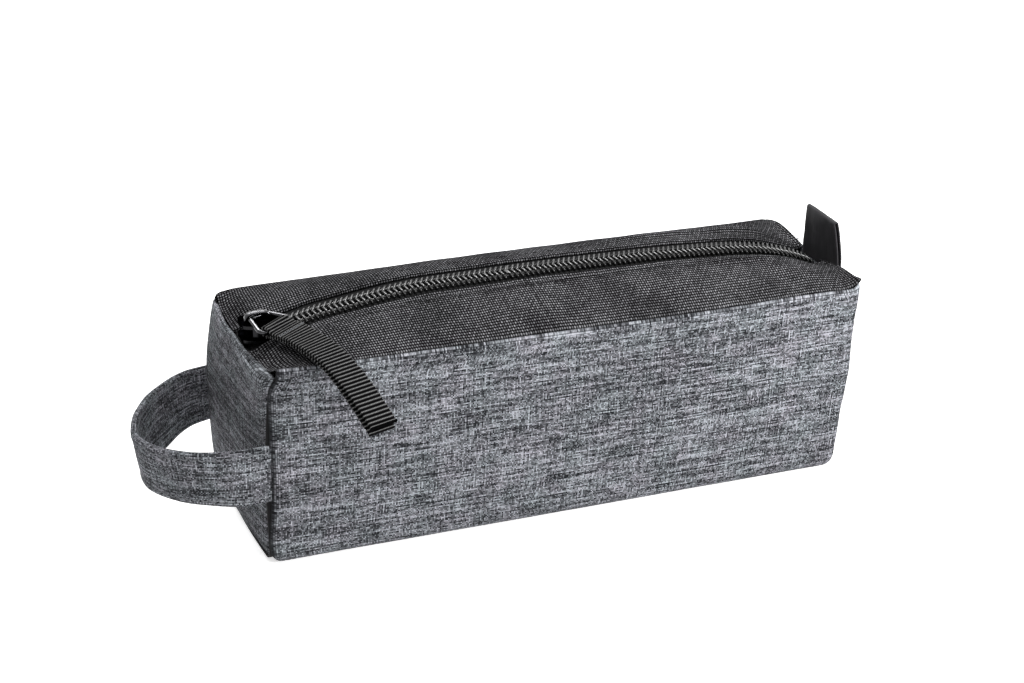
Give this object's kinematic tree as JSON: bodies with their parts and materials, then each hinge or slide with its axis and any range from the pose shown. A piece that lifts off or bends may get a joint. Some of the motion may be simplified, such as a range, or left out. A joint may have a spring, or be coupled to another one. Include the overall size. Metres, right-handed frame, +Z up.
{
  "type": "zipped fabric pouch",
  "caption": "Boxy zipped fabric pouch with a side strap loop, a webbing zip pull, a ribbon end tab and top panels that fold in as the zip opens.",
  "frame": {"origin": "middle of the flat base, on the surface that the pouch stands on", "axes": "+X along the zip towards the ribbon tab, -X towards the strap loop, -Y towards the front, +Z up"},
  "size_m": [0.2494, 0.0959, 0.0866],
  "materials": {
    "melange_fabric": "grey melange plain weave",
    "top_fabric": "black plain weave with a soft sheen",
    "binding_tape": "black woven binding",
    "zipper_tape": "black herringbone tape",
    "zipper_coil": "glossy black nylon",
    "slider_metal": "black nickel",
    "ring_metal": "polished dark nickel",
    "webbing": "black ribbed webbing",
    "ribbon": "black satin ribbon"
  },
  "bodies": {
    "pouch": {"body_panel": "melange_fabric", "left_end_panel": "melange_fabric", "right_end_panel": "melange_fabric", "left_seam_binding": "binding_tape", "right_seam_binding": "binding_tape"},
    "front_flap": {"front_top_panel": "top_fabric", "front_zipper_tape": "zipper_tape", "front_zipper_coil": "zipper_coil"},
    "back_flap": {"back_top_panel": "top_fabric", "back_zipper_tape": "zipper_tape", "back_zipper_coil": "zipper_coil"},
    "slider": {"slider_body": "slider_metal", "slider_crown": "slider_metal"},
    "pull_ring": {"pull_ring": "ring_metal"},
    "pull_tab": {"pull_tab": "webbing"},
    "handle": {"handle_strap": "melange_fabric"},
    "end_ribbon": {"end_ribbon": "ribbon"}
  },
  "joints": [
    {"name": "slider_travel", "type": "slide", "parent": "pouch", "child": "slider", "axis": [0.9996, 0, 0.029], "range_m": [0, 0.17]},
    {"name": "front_flap_fold", "type": "hinge", "parent": "pouch", "child": "front_flap", "pos_m": [0, -0.0322, 0.07], "axis": [-1, 0, 0], "range_deg": [0, 70], "deforming": ["front_zipper_tape", "front_zipper_coil"]},
    {"name": "back_flap_fold", "type": "hinge", "parent": "pouch", "child": "back_flap", "pos_m": [0, 0.0322, 0.07], "axis": [1, 0, 0], "range_deg": [0, 70], "deforming": ["back_zipper_tape", "back_zipper_coil"]},
    {"name": "pull_ring_swing", "type": "hinge", "parent": "slider", "child": "pull_ring", "pos_m": [-0.1002, 0, 0.07316], "axis": [-0.8829, -0.4695, 0], "range_deg": [0, 120]},
    {"name": "pull_tab_swing", "type": "hinge", "parent": "pull_ring", "child": "pull_tab", "pos_m": [-0.09607, -0.00969, 0.07316], "axis": [-0.8829, -0.4695, 0], "range_deg": [0, 70]},
    {"name": "handle_swing", "type": "hinge", "parent": "pouch", "child": "handle", "pos_m": [-0.11826, 0, 0.0334], "axis": [0, 1, 0], "range_deg": [-60, 60]},
    {"name": "end_ribbon_bend", "type": "hinge", "parent": "pouch", "child": "end_ribbon", "pos_m": [0.10597, -0.0045, 0.06915], "axis": [0, 1, 0], "range_deg": [-60, 75]}
  ],
  "couplings": [
    {"joint": "front_flap_fold", "follows": "slider_travel", "rad_per_m": 7.18},
    {"joint": "back_flap_fold", "follows": "slider_travel", "rad_per_m": 7.18}
  ]
}
